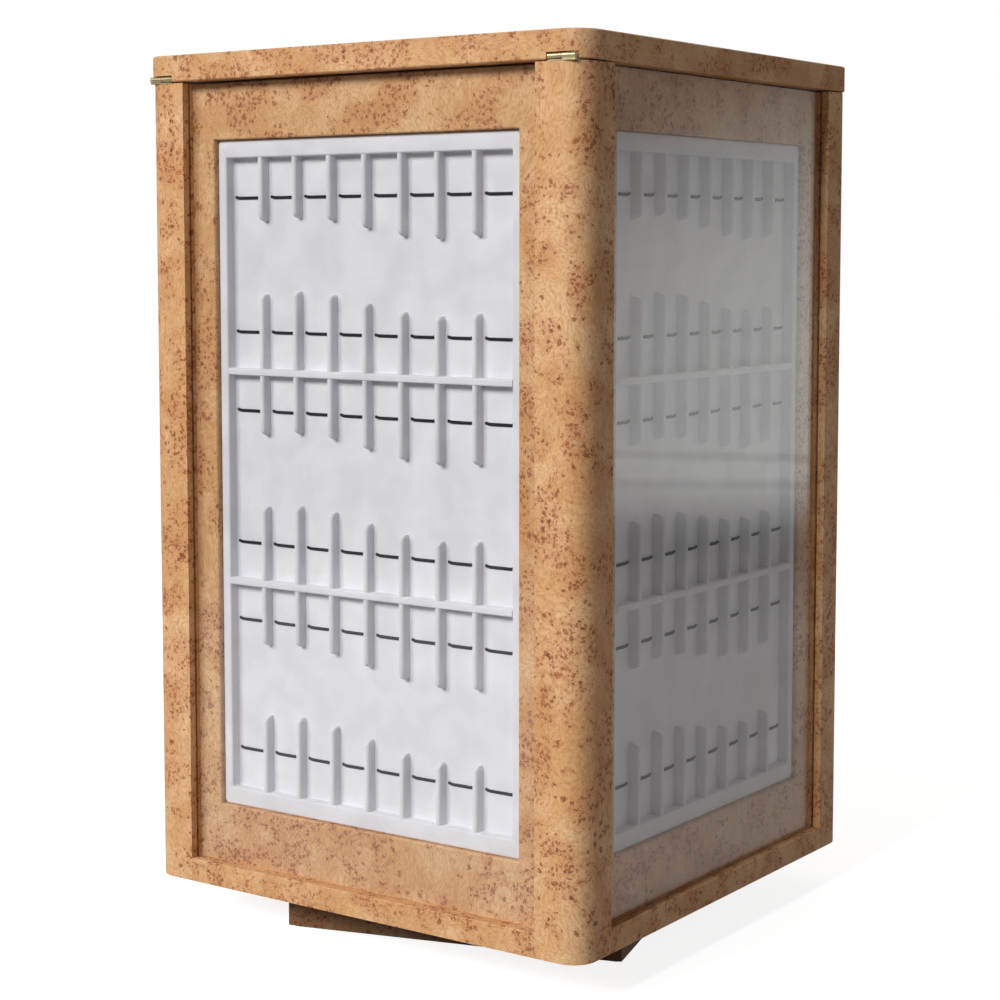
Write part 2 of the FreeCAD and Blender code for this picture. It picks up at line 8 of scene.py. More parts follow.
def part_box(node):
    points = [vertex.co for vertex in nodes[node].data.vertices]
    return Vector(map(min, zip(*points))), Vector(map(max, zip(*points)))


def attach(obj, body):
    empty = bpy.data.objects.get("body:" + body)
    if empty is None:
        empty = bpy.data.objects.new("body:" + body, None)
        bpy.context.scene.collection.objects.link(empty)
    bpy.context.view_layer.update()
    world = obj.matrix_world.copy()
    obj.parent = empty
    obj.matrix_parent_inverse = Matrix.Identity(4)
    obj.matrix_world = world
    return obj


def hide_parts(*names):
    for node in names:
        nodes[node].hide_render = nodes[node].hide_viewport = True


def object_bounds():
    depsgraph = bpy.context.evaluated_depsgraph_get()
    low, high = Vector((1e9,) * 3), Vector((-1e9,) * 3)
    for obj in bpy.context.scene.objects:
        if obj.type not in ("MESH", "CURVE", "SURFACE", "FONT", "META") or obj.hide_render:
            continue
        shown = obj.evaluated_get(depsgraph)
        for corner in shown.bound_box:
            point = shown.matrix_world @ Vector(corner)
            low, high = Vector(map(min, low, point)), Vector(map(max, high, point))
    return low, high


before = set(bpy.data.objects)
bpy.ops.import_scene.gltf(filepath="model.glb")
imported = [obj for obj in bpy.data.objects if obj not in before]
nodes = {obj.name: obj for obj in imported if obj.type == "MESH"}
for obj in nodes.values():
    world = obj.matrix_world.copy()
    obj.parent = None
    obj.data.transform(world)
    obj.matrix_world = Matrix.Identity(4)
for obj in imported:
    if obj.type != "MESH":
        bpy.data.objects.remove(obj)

# Looks of the rotating display stand: burl veneer, suede trays with elastic straps, glass and
# brass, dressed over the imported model. Lengths are in metres, and MM turns millimetres into them.

MM = 0.001
cad_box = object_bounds()

FACES = {"front": 0, "right": 90, "back": 180, "left": 270}
CORNERS = ("front_right", "back_right", "back_left", "front_left")
SIDES = {"left": -1, "right": 1}

# Places that the front face's pieces share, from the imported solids
tray_low, tray_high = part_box("tray_front")
bar_low, bar_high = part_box("tray_bar_lower_front")
upper_bar_low, upper_bar_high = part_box("tray_bar_upper_front")
fins_low, fins_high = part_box("tray_fins_front")
straps_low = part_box("elastic_straps_front")[0]
RIM_FACE = tray_low.y
TRAY_BACK = tray_high.y
BED = bar_high.y
POCKET_HALF = bar_high.x
POCKET_FLOOR = fins_low.z
POCKET_TOP = fins_high.z
LOWER_BAR = (bar_low.z + bar_high.z) / 2
UPPER_BAR = (upper_bar_low.z + upper_bar_high.z) / 2
HALF_BAR = (bar_high.z - bar_low.z) / 2

# Tray and fins. A fin's free end is shaped at the angles of its nose's arc, in degrees.
COLUMNS = 8
FIN_THICKNESS = 4.6 * MM
FIN_ROUNDING = 2.2 * MM
FIN_REACH = 51 * MM
FIN_WAVE = 7.7 * MM
FIN_NOSE = 4.2 * MM
NOSE_ANGLES = (0, 20, 40, 55, 70, 82)
BACK_STEPS = 5
RIM_SIDE = 7.7 * MM
RIM_END = 12.7 * MM
RIM_SOFTNESS = 1.4 * MM
BAR_SOFTNESS = 1.0 * MM
BED_SOFTNESS = 0.8 * MM
TRAY_CORNER = 3 * MM
POCKET_CORNER = 1.2 * MM
PITCH = 2 * POCKET_HALF / COLUMNS

# Elastic straps
STRAP_HALF_HEIGHT = 1.1 * MM
STRAP_HALF_DEPTH = 0.65 * MM
STRAP_OFFSET = straps_low.z + STRAP_HALF_HEIGHT - POCKET_FLOOR
STRAP_END_GAP = 2.1 * MM
STRAP_END_RISE = 0.6 * MM
STRAP_END_RUN = 3.5 * MM
STRAP_BEND = 1.1 * MM
STRAP_SIDES = 10

# Felt sheet, which lies as the plinth is turned, and lid pads
PLINTH_TURN = 16
FELT_WIDTH = 249 * MM
FELT_CORNER = 2 * MM
FELT_EDGE = 0.6 * MM
PAD_CORNER = 1 * MM
PAD_EDGE = 0.3 * MM

# Hinge screws, whose heads have at each level a rise over the leaf and a share of their width
LEAF_THICKNESS = 0.7 * MM
SCREW_SPREAD = 6.5 * MM
SCREW_FROM_BACK = 3.8 * MM
SCREW_RADIUS = 1.7 * MM
SCREW_SLOT = 0.4 * MM
SCREW_LEVELS = ((-LEAF_THICKNESS / 2, 0.8), (0, 1.0), (0.08 * MM, 0.92))
SCREW_STEPS = 12

# Angle from which on an edge is shaded as a sharp one
SHARP_EDGE = 40

# Light of the room by direction: its dim rest, then each pale wall's azimuth, elevation, reach and colour
DIM_ROOM = (0.05, 0.048, 0.043)
PALE_WALLS = ((114, 12, 45, (0.49, 0.45, 0.43)),
              (154.5, -6, 12, (1.12, 1.15, 1.13)),
              (225, 30, 60, (0.9, 0.88, 0.85)))

# Foot of the walls and the seams above it, as heights of a direction of length 1, and their light
WALL_FOOT = -0.14
WALL_START = -0.10
FOOT_LIGHT = 0.1
SEAMS = (-0.096, -0.109)
SEAM_HALF = 0.001
SEAM_FADE = 0.003
SEAM_LIGHT = 0.8

# Floor: its glow grows outwards from the stand, and further out it fades away
GLOW_FROM = 0.2
GLOW_TO = 1.4
GLOW_AT_STAND = 0.86
GLOW_MIRRORED = 0.22
FADE_FROM = 1.2
FADE_TO = 2.6
FLOOR_HALF = 2.7

# Camera: sensor and lens in millimetres, angles in degrees, and the nearest and farthest that it sees
SENSOR_WIDTH = 36
LENS = 77.33
UPRIGHT_SHIFT = -0.0686
CAMERA_PLACE = Vector((928.8, -1336.9, 498.9)) * MM
CAMERA_TURN = 35
CAMERA_TIP = 4.87
NEAREST = 0.05
FARTHEST = 100


# Materials

def srgb(red, green, blue):
    """Linear colour, with full alpha, of an sRGB colour from 0 to 255."""
    shares = []
    for value in (red, green, blue):
        share = value / 255
        shares.append(share / 12.92 if share <= 0.04045 else ((share + 0.055) / 1.055) ** 2.4)
    return (*shares, 1.0)


# Colours of the burl, from its palest ground to the deep brown of its painted shade
GROUND_PALE = srgb(231, 190, 144)
GROUND_TAN = srgb(215, 167, 116)
CLUSTER = srgb(198, 134, 86)
FIGURE = srgb(190, 128, 80)
FIBRE = srgb(184, 124, 78)
EYE_PALE = srgb(170, 94, 64)
CRUMB = srgb(160, 92, 60)
EYE_DARK = srgb(116, 48, 33)
# Deep brown blended over a burl as painted shade
PAINTED_SHADE_BROWN = srgb(58, 26, 14)


class Nodes:
    """Node tree of a material or of the world, being built."""

    def __init__(self, block, output):
        block.use_nodes = True
        self.block = block
        self.tree = block.node_tree
        self.tree.nodes.clear()
        self.output = self.add(output)

    def show(self, node):
        """Make a shader the one that the surface or the world has."""
        self.tree.links.new(node.outputs[0], self.output.inputs["Surface"])

    def add(self, kind, inputs=None, **settings):
        """A node with its settings, and inputs that are values or other nodes' outputs."""
        node = self.tree.nodes.new(kind)
        for key, value in settings.items():
            setattr(node, key, value)
        for key, value in (inputs or {}).items():
            self.put(node.inputs[key], value)
        return node

    def put(self, socket, value):
        """Link a socket to another node's output, or give it a value."""
        if isinstance(value, bpy.types.NodeSocket):
            self.tree.links.new(value, socket)
        else:
            socket.default_value = value

    def place(self, offset=(0, 0, 0), stretch=(1, 1, 1)):
        """Place on the piece itself, moved and stretched."""
        source = self.add("ShaderNodeTexCoord").outputs["Object"]
        mapping = self.add("ShaderNodeMapping", {"Vector": source, "Location": offset, "Scale": stretch})
        return mapping.outputs[0]

    def noise(self, vector, size, detail=2.0, roughness=0.5):
        """Noise node whose lumps are about the given size."""
        return self.add("ShaderNodeTexNoise", {
            "Vector": vector, "Scale": 1 / size, "Detail": detail, "Roughness": roughness})

    def speckle(self, vector, size, detail=2.0, roughness=0.5):
        """Value of such a noise."""
        return self.noise(vector, size, detail, roughness).outputs[0]

    def warped(self, vector, size, reach):
        """Place pushed about by a noise."""
        push = self.noise(vector, size, 1.0).outputs["Color"]
        middle = self.add("ShaderNodeVectorMath", {0: push, 1: (0.5, 0.5, 0.5)}, operation="SUBTRACT")
        scaled = self.add("ShaderNodeVectorMath", {0: middle.outputs[0], "Scale": reach}, operation="SCALE")
        moved = self.add("ShaderNodeVectorMath", {0: vector, 1: scaled.outputs[0]}, operation="ADD")
        return moved.outputs[0]

    def cells(self, vector, size):
        """Voronoi node with cells of about the given size."""
        return self.add("ShaderNodeTexVoronoi", {"Vector": vector, "Scale": 1 / size})

    def calc(self, operation, first, second=0.0):
        """One sum on values."""
        return self.add("ShaderNodeMath", {0: first, 1: second}, operation=operation).outputs[0]

    def ramp(self, value, low, high, start=0.0, end=1.0):
        """Value carried smoothly from one range to another."""
        node = self.add("ShaderNodeMapRange", {
            "Value": value, "From Min": low, "From Max": high, "To Min": start, "To Max": end},
            interpolation_type="SMOOTHSTEP")
        return node.outputs[0]

    def blend(self, share, first, second):
        """Colour between two others."""
        node = self.add("ShaderNodeMix", {0: share, 6: first, 7: second}, data_type="RGBA")
        return node.outputs[2]

    def bump(self, height, depth, strength=1.0):
        """Normal of a surface raised by a value."""
        node = self.add("ShaderNodeBump", {"Height": height, "Distance": depth, "Strength": strength})
        return node.outputs[0]


class Paint(Nodes):
    """A material round one principled shader."""

    def __init__(self, name):
        super().__init__(bpy.data.materials.new(name), "ShaderNodeOutputMaterial")
        self.shader = self.add("ShaderNodeBsdfPrincipled")
        self.show(self.shader)

    def set(self, **inputs):
        """Inputs of the principled shader, with underscores for the spaces in their names."""
        for key, value in inputs.items():
            self.put(self.shader.inputs[key.replace("_", " ")], value)


def add_eyes(paint, colour, place, gathering, cell, reach):
    """Ragged eyes over a colour where a burl's clusters are, each with a paler middle.

    Gives back the new colour and how far each place is inside an eye.
    """
    spots = paint.cells(place, cell)
    random = paint.add("ShaderNodeSeparateColor", {0: spots.outputs["Color"]}).outputs
    largest = paint.calc("MULTIPLY", gathering, reach)
    radius = paint.calc("MULTIPLY", paint.ramp(random[0], 0, 1, 0.25, 1), largest)
    depth = paint.calc("DIVIDE", spots.outputs["Distance"], paint.calc("ADD", radius, 0.001))
    jagged = paint.ramp(paint.speckle(place, 0.35 * cell, 2, 0.7), 0.3, 0.7, -0.55, 0.55)
    depth = paint.calc("ADD", depth, jagged)
    middle = paint.ramp(depth, 0.45, 0.1, 0, 0.35)
    shade = paint.calc("SUBTRACT", paint.ramp(depth, 1.3, 0.5), middle)
    dark = paint.blend(random[1], EYE_PALE, EYE_DARK)
    return paint.blend(paint.calc("MULTIPLY", shade, 0.9), colour, dark), shade


def burl(name, offset, grain, painted_shade=0.0):
    """Lacquered burl veneer: fine swirling grain, with red-brown eyes gathered in clusters.

    A painted shade of 1 darkens it all the way to deep brown, standing in for shade on the piece.
    """
    paint = Paint(name)
    place = paint.place(offset)
    swirl = paint.warped(paint.warped(place, 70 * MM, 60 * MM), 14 * MM, 9 * MM)
    ragged = paint.warped(paint.warped(place, 14 * MM, 5 * MM), 1.7 * MM, 2.6 * MM)

    # Cloudy ground with fine fibres and a swirling figure
    cloud = paint.speckle(swirl, 40 * MM, 3)
    colour = paint.blend(paint.ramp(cloud, 0.35, 0.65), GROUND_PALE, GROUND_TAN)
    streaks = paint.add("ShaderNodeMapping", {"Vector": swirl, "Scale": grain}).outputs[0]
    fibre = paint.speckle(streaks, 1.5 * MM, 4, 0.75)
    colour = paint.blend(paint.ramp(fibre, 0.42, 0.74, 0, 0.85), colour, FIBRE)
    figure = paint.calc("SINE", paint.calc("MULTIPLY", paint.speckle(swirl, 34 * MM), 120.0))
    colour = paint.blend(paint.ramp(figure, 0.3, 1.0, 0, 0.3), colour, FIGURE)

    # Darker clusters, partly along rings
    circles = paint.cells(ragged, 15 * MM).outputs["Distance"]
    ring = paint.ramp(paint.calc("ABSOLUTE", paint.calc("SUBTRACT", circles, 0.42)), 0.22, 0.04, 0, 0.06)
    patch = paint.speckle(paint.warped(place, 40 * MM, 25 * MM), 26 * MM)
    gathering = paint.ramp(paint.calc("ADD", patch, ring), 0.44, 0.61)
    colour = paint.blend(paint.calc("MULTIPLY", gathering, 0.3), colour, CLUSTER)

    # Crumbs and eyes, small ones in the clusters and a few large ones
    crumbs = paint.ramp(paint.speckle(ragged, 1.4 * MM, 3, 0.7), 0.55, 0.70)
    crumbed = paint.calc("MULTIPLY", crumbs, paint.ramp(gathering, 0, 1, 0.3, 0.9))
    colour = paint.blend(crumbed, colour, CRUMB)
    colour, small = add_eyes(paint, colour, ragged, gathering, 3 * MM, 0.56)
    sparse = paint.ramp(paint.speckle(place, 24 * MM, 1), 0.44, 0.62)
    colour, large = add_eyes(paint, colour, ragged, sparse, 6 * MM, 0.34)
    # Painted shade: the burl darkened towards deep brown by the given share
    colour = paint.blend(painted_shade, colour, PAINTED_SHADE_BROWN)

    # Eyes and fibres sunk a little into the lacquer
    sunk = paint.calc("ADD", paint.calc("MAXIMUM", small, large), paint.calc("MULTIPLY", fibre, 0.5))
    height = paint.calc("MULTIPLY", sunk, -1.0)
    paint.set(Base_Color=colour, Specular_IOR_Level=0.25, IOR=1.5,
              Roughness=paint.ramp(cloud, 0.3, 0.7, 0.40, 0.50),
              Normal=paint.bump(height, 0.05 * MM, 0.4))
    return paint.block


def suede():
    """Pale grey suede: brushed nap, with a soft sheen."""
    paint = Paint("suede")
    place = paint.place()
    nap = paint.speckle(paint.warped(place, 40 * MM, 30 * MM), 28 * MM, 3)
    hair = paint.speckle(place, 0.7 * MM, 2, 0.7)
    shade = paint.calc("ADD", paint.calc("MULTIPLY", nap, 0.75), paint.calc("MULTIPLY", hair, 0.25))
    colour = paint.blend(paint.ramp(shade, 0.3, 0.7), srgb(222, 220, 226), srgb(235, 233, 239))
    paint.set(Base_Color=colour, Roughness=0.95, Specular_IOR_Level=0.15, Sheen_Weight=0.35,
              Sheen_Roughness=0.5, Normal=paint.bump(hair, 0.12 * MM, 0.45))
    return paint.block


def elastic():
    """Black covered elastic, ribbed along its length."""
    paint = Paint("elastic")
    place = paint.place()
    ribs = paint.speckle(paint.place(stretch=(4, 4, 1)), 1.2 * MM, 1)
    fuzz = paint.speckle(place, 0.3 * MM, 2)
    colour = paint.blend(paint.ramp(fuzz, 0.3, 0.7), srgb(18, 18, 20), srgb(36, 36, 40))
    paint.set(Base_Color=colour, Roughness=0.85, Specular_IOR_Level=0.2, Sheen_Weight=0.05,
              Normal=paint.bump(ribs, 0.15 * MM, 0.6))
    return paint.block


def felt():
    """Dark pressed felt, matted and a little fuzzy."""
    paint = Paint("felt")
    place = paint.place()
    matted = paint.speckle(place, 4 * MM, 4, 0.7)
    fuzz = paint.speckle(place, 0.5 * MM, 2, 0.7)
    colour = paint.blend(paint.ramp(matted, 0.3, 0.7), srgb(44, 42, 42), srgb(66, 63, 62))
    paint.set(Base_Color=colour, Roughness=1.0, Specular_IOR_Level=0.1, Sheen_Weight=0.3,
              Normal=paint.bump(fuzz, 0.3 * MM, 0.6))
    return paint.block


def glass():
    """Clear float glass, faintly wavy. Lamplight and bounced light pass straight through it."""
    paint = Paint("glass")
    wave = paint.speckle(paint.place(), 90 * MM, 1)
    paint.set(Base_Color=(0.985, 0.99, 0.986, 1.0), Roughness=0.0, IOR=1.5, Transmission_Weight=1.0,
              Normal=paint.bump(wave, 0.4 * MM, 0.15))
    clear = paint.add("ShaderNodeBsdfTransparent", {"Color": (0.95, 0.955, 0.95, 1.0)})
    path = paint.add("ShaderNodeLightPath").outputs
    bounced = paint.add("ShaderNodeMixShader", {
        0: path["Is Diffuse Ray"], 1: paint.shader.outputs[0], 2: clear.outputs[0]})
    paint.show(paint.add("ShaderNodeMixShader", {
        0: path["Is Shadow Ray"], 1: bounced.outputs[0], 2: clear.outputs[0]}))
    return paint.block


def metal(name, dark, pale, roughness, grain):
    """Metal with fine brushing along one direction and some dulled patches."""
    paint = Paint(name)
    brushed = paint.speckle(paint.place(stretch=grain), 0.6 * MM, 2)
    dulled = paint.speckle(paint.place(), 6 * MM, 3)
    colour = paint.blend(paint.ramp(dulled, 0.3, 0.7), dark, pale)
    paint.set(Base_Color=colour, Metallic=1.0,
              Roughness=paint.ramp(brushed, 0.3, 0.7, roughness - 0.06, roughness + 0.08),
              Normal=paint.bump(brushed, 0.02 * MM, 0.4))
    return paint.block


def board():
    """Plain pale board with straight grain."""
    paint = Paint("board")
    place = paint.warped(paint.place(stretch=(0.06, 1, 1)), 40 * MM, 8 * MM)
    grain = paint.speckle(place, 5 * MM, 4, 0.6)
    colour = paint.blend(paint.ramp(grain, 0.35, 0.65), srgb(206, 172, 128), srgb(178, 138, 92))
    paint.set(Base_Color=colour, Roughness=0.7, Normal=paint.bump(grain, 0.1 * MM, 0.4))
    return paint.block


def nylon():
    """Milky nylon, faintly mottled."""
    paint = Paint("nylon")
    mottle = paint.speckle(paint.place(), 9 * MM, 3)
    colour = paint.blend(paint.ramp(mottle, 0.3, 0.7), srgb(226, 224, 212), srgb(240, 239, 230))
    paint.set(Base_Color=colour, Roughness=0.45, Subsurface_Weight=0.1, Subsurface_Scale=2 * MM)
    return paint.block


UPRIGHT_GRAIN = (1, 1, 0.35)
LEVEL_GRAIN = (0.35, 1, 1)
BURL_LID = burl("burl_lid", (0.11, 0.03, 0.4), LEVEL_GRAIN)
BURL_POST = burl("burl_post", (0.71, 0.34, 0.05), UPRIGHT_GRAIN)
BURL_RAIL = burl("burl_rail", (1.37, 0.92, 0.61), LEVEL_GRAIN)
BURL_FRAME = burl("burl_frame", (2.03, 1.41, 0.27), UPRIGHT_GRAIN)
# The plinth's burl is darkened with painted shade, standing in for the shadow that the column's overhang
# casts on it
BURL_PLINTH = burl("burl_plinth", (2.9, 0.66, 1.13), LEVEL_GRAIN, 0.7)
SUEDE = suede()
ELASTIC = elastic()
FELT = felt()
GLASS = glass()
BRASS = metal("brass", srgb(192, 174, 130), srgb(216, 202, 162), 0.40, (0.05, 1, 1))
STEEL = metal("steel", srgb(170, 170, 172), srgb(196, 196, 198), 0.32, (1, 0.05, 1))
BOARD = board()
NYLON = nylon()


# Mesh steps

def new_piece(name, form, material, body, slot, *replaced, turn=0):
    """A piece made of a bmesh, turned about the upright axis, that rides on a body."""
    rotation = Matrix.Rotation(math.radians(turn), 3, "Z")
    bmesh.ops.rotate(form, verts=form.verts, cent=(0, 0, 0), matrix=rotation)
    bmesh.ops.recalc_face_normals(form, faces=form.faces)
    mesh = bpy.data.meshes.new(name)
    form.to_mesh(mesh)
    form.free()
    piece = bpy.data.objects.new(name, mesh)
    bpy.context.scene.collection.objects.link(piece)
    finish_mesh(piece, material)
    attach(piece, body)
    if replaced:
        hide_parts(*replaced)
    return piece


def finish_mesh(piece, material):
    """Smooth shading that keeps the sharp edges, and one material."""
    mesh = piece.data
    for polygon in mesh.polygons:
        polygon.use_smooth = True
    mesh.set_sharp_from_angle(angle=math.radians(SHARP_EDGE))
    mesh.materials.clear()
    mesh.materials.append(material)


def quarter(steps=4):
    """Angles along a quarter turn."""
    return [math.pi / 2 * step / steps for step in range(steps + 1)]


def loft(form, loops):
    """Skin over closed loops of as many points each, with flat ends."""
    rings = [[form.verts.new(point) for point in loop] for loop in loops]
    for first, second in zip(rings, rings[1:]):
        count = len(first)
        for index in range(count):
            after = (index + 1) % count
            form.faces.new((first[index], first[after], second[after], second[index]))
    form.faces.new(rings[0])
    form.faces.new(rings[-1])


def rounded_outline(half_width, low, high, radius, steps=6):
    """Points of a rounded rectangle, as (across, up) pairs."""
    points = []
    centres = ((half_width - radius, low + radius, -90), (half_width - radius, high - radius, 0),
               (radius - half_width, high - radius, 90), (radius - half_width, low + radius, 180))
    for across, up, start in centres:
        for step in range(steps + 1):
            angle = math.radians(start + 90 * step / steps)
            points.append((across + radius * math.cos(angle), up + radius * math.sin(angle)))
    return points


def soft_slab(form, middle, half, low, high, corner, edge):
    """Level square slab about a middle, with rounded upright corners and rounded edges."""
    levels = [(edge * (1 - math.sin(angle)), low + edge * (1 - math.cos(angle))) for angle in quarter()]
    levels += [(edge * (1 - math.cos(angle)), high - edge * (1 - math.sin(angle))) for angle in quarter()]
    loops = []
    for inset, level in levels:
        outline = rounded_outline(half - inset, inset - half, half - inset, corner - inset)
        loops.append([Vector((middle.x + across, middle.y + deep, level)) for across, deep in outline])
    loft(form, loops)


# Suede trays

def make_tray(face, turn):
    """Suede tray with a soft rim, and its flange behind the frame."""
    block_half = POCKET_HALF + RIM_SIDE
    block_floor = POCKET_FLOOR - RIM_END
    block_top = POCKET_TOP + RIM_END

    def block(inset, depth):
        outline = rounded_outline(block_half - inset, block_floor + inset, block_top - inset, TRAY_CORNER)
        return [Vector((across, depth, up)) for across, up in outline]

    def pocket(spread, depth):
        outline = rounded_outline(POCKET_HALF + spread, POCKET_FLOOR - spread, POCKET_TOP + spread,
                                  POCKET_CORNER)
        return [Vector((across, depth, up)) for across, up in outline]

    def flange(depth):
        outline = rounded_outline(tray_high.x, tray_low.z, tray_high.z, TRAY_CORNER)
        return [Vector((across, depth, up)) for across, up in outline]

    soft = RIM_SOFTNESS
    loops = [flange(TRAY_BACK), flange(BED), block(0, BED)]
    loops += [block(soft * (1 - math.cos(angle)), RIM_FACE + soft * (1 - math.sin(angle)))
              for angle in quarter()]
    loops += [pocket(soft * (1 - math.sin(angle)), RIM_FACE + soft * (1 - math.cos(angle)))
              for angle in quarter()]
    soft = BED_SOFTNESS
    loops += [pocket(-soft * (1 - math.cos(angle)), BED - soft * (1 - math.sin(angle)))
              for angle in quarter()]
    form = bmesh.new()
    loft(form, loops)
    new_piece(f"suede_tray_{face}", form, SUEDE, "cabinet", "suede", f"tray_{face}", turn=turn)


def make_bar(name, face, turn, level):
    """Bar across a tray, its suede folded softly over the front edges."""
    soft = BAR_SOFTNESS
    section = [(BED, -HALF_BAR)]
    section += [(RIM_FACE + soft * (1 - math.sin(angle)), -HALF_BAR + soft * (1 - math.cos(angle)))
                for angle in quarter()]
    section += [(depth, -up) for depth, up in reversed(section)]
    form = bmesh.new()
    loft(form, [[Vector((across, depth, level + up)) for depth, up in section]
                for across in (-POCKET_HALF, POCKET_HALF)])
    new_piece(f"suede_bar_{name}_{face}", form, SUEDE, "cabinet", "suede",
              f"tray_bar_{name}_{face}", turn=turn)


def add_fin(form, middle, root, tip):
    """Padded fin with a rounded back, thicker at its foot, that curves down to the bed at its free end."""
    way = math.copysign(1, tip - root)
    stations = [(root, 1.0)]
    for angle in NOSE_ANGLES:
        turn = math.radians(angle)
        stations.append((tip - way * FIN_NOSE * (1 - math.sin(turn)), math.cos(turn)))
    section = [(-FIN_THICKNESS / 2, 0)]
    for step in range(-BACK_STEPS, BACK_STEPS + 1):
        angle = math.pi / 2 * step / BACK_STEPS
        back = BED - RIM_FACE - FIN_ROUNDING * (1 - math.cos(angle))
        section.append((FIN_ROUNDING * math.sin(angle), back))
    section.append((FIN_THICKNESS / 2, 0))
    loops = []
    for level, share in stations:
        narrow = math.sqrt(share)
        loops.append([Vector((middle + across * narrow, BED - rise * share, level))
                      for across, rise in section])
    loft(form, loops)


def make_fins(face, turn):
    """Fins between the slots of a tray. Their free ends follow one wave across the face."""
    form = bmesh.new()
    for column in range(1, COLUMNS):
        middle = column * PITCH - POCKET_HALF
        rise = FIN_WAVE * math.sin(math.tau * column / COLUMNS)
        above = rise + FIN_REACH
        below = rise - FIN_REACH
        add_fin(form, middle, POCKET_FLOOR, POCKET_FLOOR + above)
        for level in (LOWER_BAR, UPPER_BAR):
            add_fin(form, middle, level - HALF_BAR, level + below)
            add_fin(form, middle, level + HALF_BAR, level + above)
        add_fin(form, middle, POCKET_TOP, POCKET_TOP + below)
    new_piece(f"suede_fins_{face}", form, SUEDE, "cabinet", "suede", f"tray_fins_{face}", turn=turn)


def add_strap(form, left, right, level):
    """Elastic strap that comes out of the bed at each end, its ends pulled up a little."""
    surface = BED - STRAP_HALF_DEPTH
    path = []
    for end, way in ((left, 1), (right, -1)):
        half = [(Vector((end, BED + STRAP_BEND, level + STRAP_END_RISE)), Vector((way, 0, 0)))]
        for angle in quarter():
            point = Vector((end + way * STRAP_BEND * (1 - math.cos(angle)),
                            surface + STRAP_BEND * (1 - math.sin(angle)), level + STRAP_END_RISE))
            half.append((point, Vector((way * math.cos(angle), math.sin(angle), 0))))
        half.append((Vector((end + way * STRAP_END_RUN, surface, level)), Vector((0, 1, 0))))
        path += half if way > 0 else half[::-1]
    loops = []
    for point, inward in path:
        loop = []
        for step in range(STRAP_SIDES):
            angle = math.tau * step / STRAP_SIDES
            loop.append(point + inward * (STRAP_HALF_DEPTH * math.cos(angle))
                        + Vector((0, 0, STRAP_HALF_HEIGHT * math.sin(angle))))
        loops.append(loop)
    loft(form, loops)


def make_straps(face, turn):
    """Elastic straps across the slots, two rows in each band."""
    edges = (POCKET_FLOOR, LOWER_BAR, UPPER_BAR, POCKET_TOP)
    levels = []
    for low, high in zip(edges, edges[1:]):
        levels += [low + STRAP_OFFSET, high - STRAP_OFFSET]
    form = bmesh.new()
    for column in range(COLUMNS):
        left = column * PITCH - POCKET_HALF + (FIN_THICKNESS / 2 if column else 0)
        right = (column + 1) * PITCH - POCKET_HALF - (FIN_THICKNESS / 2 if column < COLUMNS - 1 else 0)
        for level in levels:
            add_strap(form, left + STRAP_END_GAP, right - STRAP_END_GAP, level)
    new_piece(f"elastic_{face}", form, ELASTIC, "cabinet", "elastic", f"elastic_straps_{face}", turn=turn)


for face_name, face_turn in FACES.items():
    make_tray(face_name, face_turn)
    make_bar("lower", face_name, face_turn, LOWER_BAR)
    make_bar("upper", face_name, face_turn, UPPER_BAR)
    make_fins(face_name, face_turn)
    make_straps(face_name, face_turn)


# Felt

def make_base_felt():
    """Felt sheet glued below the plinth."""
    low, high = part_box("base_felt")
    form = bmesh.new()
    soft_slab(form, Vector((0, 0)), FELT_WIDTH / 2, low.z, high.z, FELT_CORNER, FELT_EDGE)
    piece = new_piece("felt_sheet", form, FELT, "base", "felt", "base_felt", turn=PLINTH_TURN)


def make_lid_pads():
    """Felt pads on the back posts that the lid closes on."""
    low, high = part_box("lid_pads")
    half = (high.y - low.y) / 2
    form = bmesh.new()
    for side in SIDES.values():
        middle = Vector((side * (high.x - half), high.y - half))
        soft_slab(form, middle, half, low.z, high.z, PAD_CORNER, PAD_EDGE)
    piece = new_piece("felt_pads", form, FELT, "cabinet", "felt", "lid_pads")


make_base_felt()
make_lid_pads()


# Hinge screws

def add_screw_head(form, middle, way):
    """Slotted head let into a hinge leaf, facing up or down: two halves beside the slot."""
    start = math.asin(SCREW_SLOT / 2 / SCREW_RADIUS)
    for half in (1, -1):
        rim = []
        for step in range(SCREW_STEPS + 1):
            angle = start + (math.pi - 2 * start) * step / SCREW_STEPS
            rim.append(Vector((math.cos(angle), half * math.sin(angle), 0)) * SCREW_RADIUS)
        loops = []
        for rise, share in SCREW_LEVELS:
            lift = Vector((0, 0, way * rise))
            loops.append([middle + lift + Vector((point.x * share, point.y, 0)) for point in rim])
        loft(form, loops)


def make_hinge_screws(leaf, side, body):
    """Two screws in the open face of a hinge leaf."""
    node = f"hinge_{leaf}_leaf_{side}"
    low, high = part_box(node)
    way = 1 if leaf == "lower" else -1
    level = low.z + LEAF_THICKNESS if leaf == "lower" else low.z
    form = bmesh.new()
    for offset in (-SCREW_SPREAD, SCREW_SPREAD):
        add_screw_head(form, Vector(((low.x + high.x) / 2 + offset, high.y - SCREW_FROM_BACK, level)), way)
    new_piece(f"hinge_screws_{leaf}_{side}", form, BRASS, body, "brass")


for side_name in SIDES:
    make_hinge_screws("lower", side_name, "cabinet")
    make_hinge_screws("upper", side_name, "lid")


# Finishes of the solids that show as they are

def dress(material, *names):
    """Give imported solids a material."""
    for name in names:
        nodes[name].data.materials.clear()
        nodes[name].data.materials.append(material)


